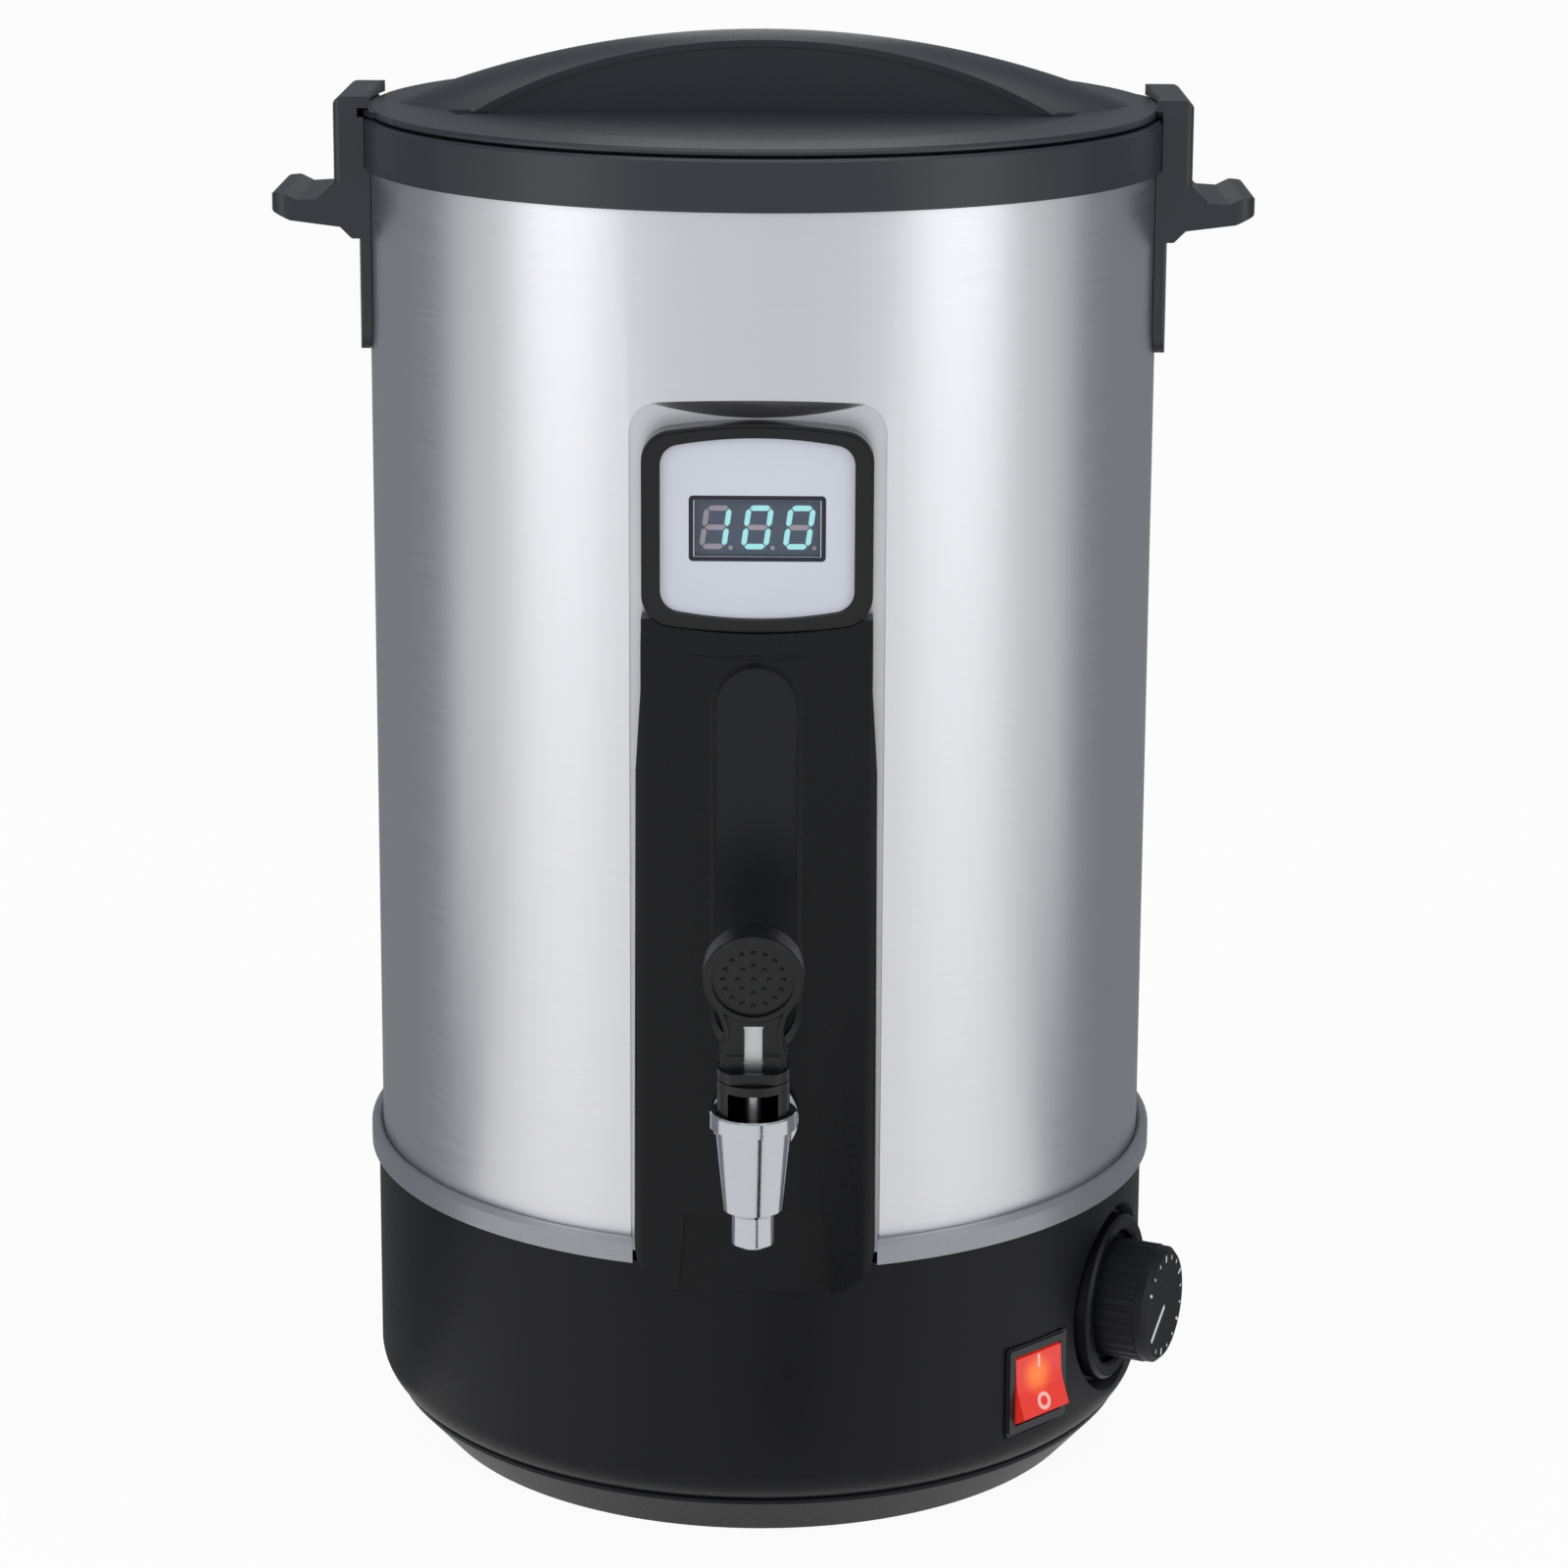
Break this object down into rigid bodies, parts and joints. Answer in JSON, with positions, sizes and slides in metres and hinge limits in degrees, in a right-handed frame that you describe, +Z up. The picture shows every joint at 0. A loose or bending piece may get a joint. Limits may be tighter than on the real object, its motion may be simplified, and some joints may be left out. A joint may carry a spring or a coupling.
{
  "type": "wax melter",
  "caption": "Electric double-walled steel melting urn with a rocking drip-proof tap, level window, heat dial, lit rocker switch, number display, side handles and a turn-to-lock lid.",
  "frame": {"origin": "on the urn's vertical axis at table level, in the plane of the foot ring", "axes": "+Z up along the urn's axis; -Y to the front, where the tap and the display are; +X to the right of someone who faces the tap, where the dial is"},
  "size_m": [0.296, 0.3012, 0.4402],
  "materials": {
    "base_black": "satin moulded",
    "lid_black": "satin moulded",
    "panel_black": "satin moulded",
    "shell_steel": "vertically brushed",
    "pot_steel": "satin",
    "ring_grey": "satin metallic paint",
    "tap_chrome": "polished",
    "bright_steel": "bright",
    "heater_steel": "heat-darkened",
    "glass_wool": "fibrous",
    "silicone": "translucent grey",
    "black_rubber": "matte",
    "smoked_window": "dark glossy",
    "gauge_glass": "clear",
    "label_silver": "silver foil",
    "display_clear": "tinted clear",
    "module_black": "dark",
    "digit_lit": "lit",
    "digit_dark": "unlit",
    "board_green": "lacquered",
    "brass": "bright",
    "copper": "bright copper",
    "cast_aluminium": "cast",
    "plated_case": "zinc plated",
    "ceramic_white": "ceramic",
    "rocker_red": "translucent red"
  },
  "bodies": {
    "root": {"base_housing": "base_black", "bottom_cover": "base_black", "cover_screws": "bright_steel", "trim_ring": "ring_grey", "outer_shell": "shell_steel", "insulation_jacket": "glass_wool", "inner_pot": "pot_steel", "collar": "lid_black", "handle_left": "lid_black", "handle_right": "lid_black", "handle_screws": "bright_steel", "tap_panel": "panel_black", "panel_screws": "bright_steel", "gauge_window": "smoked_window", "gauge_ferrule": "tap_chrome", "gauge_tube": "gauge_glass", "gauge_plug": "silicone", "display_bezel": "panel_black", "display_face_plate": "label_silver", "display_lens": "display_clear", "display_module": "module_black", "digits_lit": "digit_lit", "digits_dark": "digit_dark", "display_board": "board_green", "tap_body": "tap_chrome", "tap_front_gasket": "black_rubber", "tap_spacer": "pot_steel", "tap_rear_gasket": "silicone", "tap_nut": "bright_steel", "tap_bonnet": "panel_black", "stem_spring": "bright_steel", "dial_ring": "base_black", "thermostat": "plated_case", "thermostat_bulb": "copper", "bulb_clips": "pot_steel", "switch_case": "base_black", "switch_terminals": "brass", "mains_inlet": "base_black", "inlet_pins": "brass", "inlet_screws": "bright_steel", "element_plate": "cast_aluminium", "heating_element": "heater_steel", "thermal_cutout": "ceramic_white", "temperature_probe": "bright_steel", "clamp_bar": "pot_steel", "clamp_stud": "bright_steel", "clamp_nut": "bright_steel", "terminal_block": "ceramic_white"},
    "lid_seal": {"lid_gasket": "silicone"},
    "lid": {"lid": "lid_black"},
    "tap_valve": {"valve_stem": "bright_steel", "stem_seal": "silicone", "lever_pin": "bright_steel"},
    "tap_lever": {"tap_lever": "panel_black"},
    "dial": {"dial_knob": "panel_black", "dial_shaft": "brass"},
    "rocker": {"rocker": "rocker_red"}
  },
  "joints": [
    {"name": "lid_lift", "type": "slide", "parent": "root", "child": "lid_seal", "axis": [0, 0, 1], "range_m": [0, 0.2]},
    {"name": "lid_turn", "type": "hinge", "parent": "lid_seal", "child": "lid", "pos_m": [0, 0, 0.416], "axis": [0, 0, 1], "range_deg": [0, 25]},
    {"name": "stem_lift", "type": "slide", "parent": "root", "child": "tap_valve", "axis": [0, 0, 1], "range_m": [0, 0.0043], "stiffness_N_per_m": 20, "deforming": ["stem_spring"]},
    {"name": "lever_tilt", "type": "hinge", "parent": "tap_valve", "child": "tap_lever", "pos_m": [0, -0.165, 0.168], "axis": [1, 0, 0], "range_deg": [0, 35], "stiffness_Nm_per_rad": 0.17},
    {"name": "dial_turn", "type": "hinge", "parent": "root", "child": "dial", "pos_m": [0.1096, -0.0488, 0.053], "axis": [-0.9135, 0.4067, 0], "range_deg": [0, 270]},
    {"name": "rocker_rock", "type": "hinge", "parent": "root", "child": "rocker", "pos_m": [0.08284, -0.08459, 0.04], "axis": [0.7145, 0.6997, 0], "range_deg": [0, 24]}
  ],
  "couplings": [
    {"joint": "lever_tilt", "follows": "stem_lift", "rad_per_m": 142.06}
  ]
}
